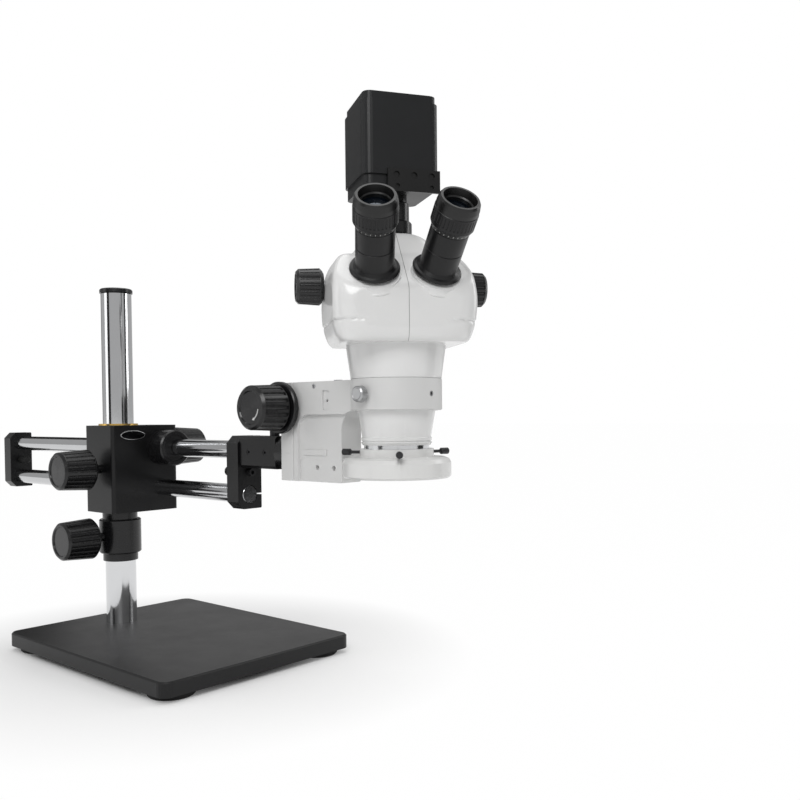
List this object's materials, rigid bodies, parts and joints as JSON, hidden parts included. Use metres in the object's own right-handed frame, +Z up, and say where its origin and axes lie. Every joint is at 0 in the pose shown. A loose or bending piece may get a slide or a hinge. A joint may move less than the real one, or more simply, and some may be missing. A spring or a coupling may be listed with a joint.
{
  "type": "stereo microscope on a boom stand",
  "caption": "Trinocular stereo zoom microscope on a twin-rod boom stand with a heavy base, geared focus mount, ring light and a square camera on its port.",
  "frame": {"origin": "the column's axis on the surface that the feet stand on", "axes": "+Z up; +X runs along the boom from the column towards the microscope; +Y points away from the column clamp's knob"},
  "size_m": [0.8778, 0.243, 0.5515],
  "materials": {
    "base_coat": "satin black powder coat",
    "rubber": "matt black rubber",
    "chrome": "polished hard chrome",
    "nose_metal": "satin chrome",
    "anodised_black": "semi-gloss black anodising",
    "stub_black": "black anodising",
    "brass": "turned brass",
    "screw_steel": "plain steel",
    "knob_plastic": "moulded black plastic with a fine grain",
    "mount_paint": "light grey-white paint",
    "head_gloss": "white gloss enamel",
    "inner_metal": "black anodising",
    "glass": "coated optical glass",
    "eyepiece_black": "matt black anodising",
    "eyecup_rubber": "soft black rubber",
    "camera_black": "fine-grained black anodising",
    "port_panel": "black plastic",
    "light_white": "white gloss plastic",
    "led_cover": "milky diffuser",
    "thumbscrew_metal": "blackened knurled head on a plain shank"
  },
  "bodies": {
    "base": {"base_plate": "base_coat", "feet": "rubber", "column": "chrome", "column_cap": "anodised_black", "column_bolt": "screw_steel"},
    "collar": {"stop_collar": "anodised_black"},
    "collar_clamp": {"collar_knob": "knob_plastic"},
    "carrier": {"carrier_block": "anodised_black", "column_bush": "brass", "bearing_tube": "anodised_black", "ball_bushings": "stub_black"},
    "carrier_clamp": {"clamp_knob": "knob_plastic"},
    "rod_lock": {"rod_lock_knob": "knob_plastic"},
    "boom": {"upper_rod": "chrome", "lower_rod": "chrome", "rear_end_plate": "anodised_black", "front_end_plate": "anodised_black", "boom_screws": "stub_black", "bumpers": "rubber", "pivot_block": "anodised_black"},
    "mount": {"tilt_stub": "stub_black", "focus_housing": "mount_paint"},
    "focus_drive": {"pinion_shaft": "screw_steel", "focus_knob_left": "knob_plastic", "focus_knob_right": "knob_plastic"},
    "tension": {"tension_collar": "stub_black"},
    "slider": {"focus_slider": "mount_paint", "focus_rack": "screw_steel", "ring_holder": "mount_paint", "arm_screws": "screw_steel"},
    "ring_clamp": {"ring_knob": "chrome"},
    "head": {"head_barrel": "head_gloss", "nose_ring": "nose_metal", "objective_lens": "glass", "head_shell_left": "head_gloss", "head_shell_right": "head_gloss", "prisms": "glass", "camera_port": "camera_black"},
    "zoom": {"zoom_shaft": "screw_steel", "zoom_knob_left": "knob_plastic", "zoom_knob_right": "knob_plastic"},
    "zoom_carriage": {"zoom_carriage": "inner_metal"},
    "eye_left": {"eye_tube_left": "eyepiece_black"},
    "eye_right": {"eye_tube_right": "eyepiece_black"},
    "diopter_left": {"diopter_ring_left": "eyepiece_black", "eyecup_left": "eyecup_rubber", "eye_lens_left": "glass"},
    "diopter_right": {"diopter_ring_right": "eyepiece_black", "eyecup_right": "eyecup_rubber", "eye_lens_right": "glass"},
    "camera": {"camera_mount": "camera_black", "camera_sleeve": "camera_black", "camera_lid": "camera_black", "camera_base": "camera_black", "port_panel": "port_panel"},
    "light": {"ring_light": "light_white", "ring_light_leds": "led_cover"},
    "thumb_front": {"thumbscrew_front": "thumbscrew_metal"},
    "thumb_left": {"thumbscrew_left": "thumbscrew_metal"},
    "thumb_right": {"thumbscrew_right": "thumbscrew_metal"}
  },
  "joints": [
    {"name": "collar_slide", "type": "slide", "parent": "base", "child": "collar", "axis": [0, 0, 1], "range_m": [-0.072, 0.15]},
    {"name": "collar_knob_turn", "type": "hinge", "parent": "collar", "child": "collar_clamp", "pos_m": [0, -0.06, 0.124], "axis": [0, -1, 0], "range_deg": [-360, 30]},
    {"name": "carrier_swing", "type": "hinge", "parent": "collar", "child": "carrier", "pos_m": [0, 0, 0.204], "axis": [0, 0, 1], "continuous": true},
    {"name": "clamp_knob_turn", "type": "hinge", "parent": "carrier", "child": "carrier_clamp", "pos_m": [0, -0.06, 0.204], "axis": [0, -1, 0], "range_deg": [-360, 30]},
    {"name": "lock_knob_turn", "type": "hinge", "parent": "carrier", "child": "rod_lock", "pos_m": [0, 0.09, 0.228], "axis": [0, 1, 0], "range_deg": [-360, 30]},
    {"name": "boom_slide", "type": "slide", "parent": "carrier", "child": "boom", "axis": [1, 0, 0], "range_m": [-0.095, 0.25]},
    {"name": "mount_tilt", "type": "hinge", "parent": "boom", "child": "mount", "pos_m": [0.254, 0.039, 0.2265], "axis": [1, 0, 0], "range_deg": [-45, 45]},
    {"name": "focus_turn", "type": "hinge", "parent": "mount", "child": "focus_drive", "pos_m": [0.2742, 0.039, 0.2725], "axis": [0, -1, 0], "range_deg": [-230, 230]},
    {"name": "focus_slide", "type": "slide", "parent": "mount", "child": "slider", "axis": [0, 0, 1], "range_m": [-0.02, 0.02]},
    {"name": "tension_turn", "type": "hinge", "parent": "mount", "child": "tension", "pos_m": [0.2742, 0.039, 0.2725], "axis": [0, -1, 0], "range_deg": [-30, 120]},
    {"name": "ring_knob_turn", "type": "hinge", "parent": "slider", "child": "ring_clamp", "pos_m": [0.4087, -0.003, 0.283], "axis": [0, -1, 0], "range_deg": [-360, 30]},
    {"name": "head_turn", "type": "hinge", "parent": "slider", "child": "head", "pos_m": [0.4087, 0.039, 0.283], "axis": [0, 0, 1], "continuous": true},
    {"name": "zoom_turn", "type": "hinge", "parent": "head", "child": "zoom", "pos_m": [0.39432, 0.04983, 0.3825], "axis": [-0.6018, -0.7986, 0], "range_deg": [-114, 114]},
    {"name": "zoom_lift", "type": "slide", "parent": "head", "child": "zoom_carriage", "axis": [0, 0, 1], "range_m": [-0.012, 0.012]},
    {"name": "eye_left_swing", "type": "hinge", "parent": "head", "child": "eye_left", "pos_m": [0.4168, -0.00136, 0.40711], "axis": [0.5084, -0.514, 0.6909], "range_deg": [-9, 9]},
    {"name": "diopter_left_turn", "type": "hinge", "parent": "eye_left", "child": "diopter_left", "pos_m": [0.45198, -0.0335, 0.41956], "axis": [0.5084, -0.514, 0.6909], "range_deg": [-150, 150]},
    {"name": "eye_right_swing", "type": "hinge", "parent": "head", "child": "eye_right", "pos_m": [0.44973, 0.04233, 0.40711], "axis": [0.6342, -0.3471, 0.6909], "range_deg": [-9, 9]},
    {"name": "diopter_right_turn", "type": "hinge", "parent": "eye_right", "child": "diopter_right", "pos_m": [0.49032, 0.01738, 0.41956], "axis": [0.6342, -0.3471, 0.6909], "range_deg": [-150, 150]},
    {"name": "camera_turn", "type": "hinge", "parent": "head", "child": "camera", "pos_m": [0.39432, 0.04983, 0.4515], "axis": [0, 0, 1], "continuous": true},
    {"name": "light_turn", "type": "hinge", "parent": "head", "child": "light", "pos_m": [0.4087, 0.039, 0.22975], "axis": [0, 0, 1], "continuous": true},
    {"name": "thumbscrew_front_turn", "type": "hinge", "parent": "light", "child": "thumb_front", "pos_m": [0.43996, 0.00663, 0.22975], "axis": [0.6947, -0.7193, 0], "range_deg": [-360, 30]},
    {"name": "thumbscrew_left_turn", "type": "hinge", "parent": "light", "child": "thumb_left", "pos_m": [0.36504, 0.02811, 0.22975], "axis": [-0.9703, -0.2419, 0], "range_deg": [-360, 30]},
    {"name": "thumbscrew_right_turn", "type": "hinge", "parent": "light", "child": "thumb_right", "pos_m": [0.4211, 0.08226, 0.22975], "axis": [0.2756, 0.9613, 0], "range_deg": [-360, 30]}
  ],
  "couplings": [
    {"joint": "focus_turn", "follows": "focus_slide", "rad_per_m": 200},
    {"joint": "zoom_lift", "follows": "zoom_turn", "m_per_rad": 0.006},
    {"joint": "eye_right_swing", "follows": "eye_left_swing", "ratio": -1}
  ]
}
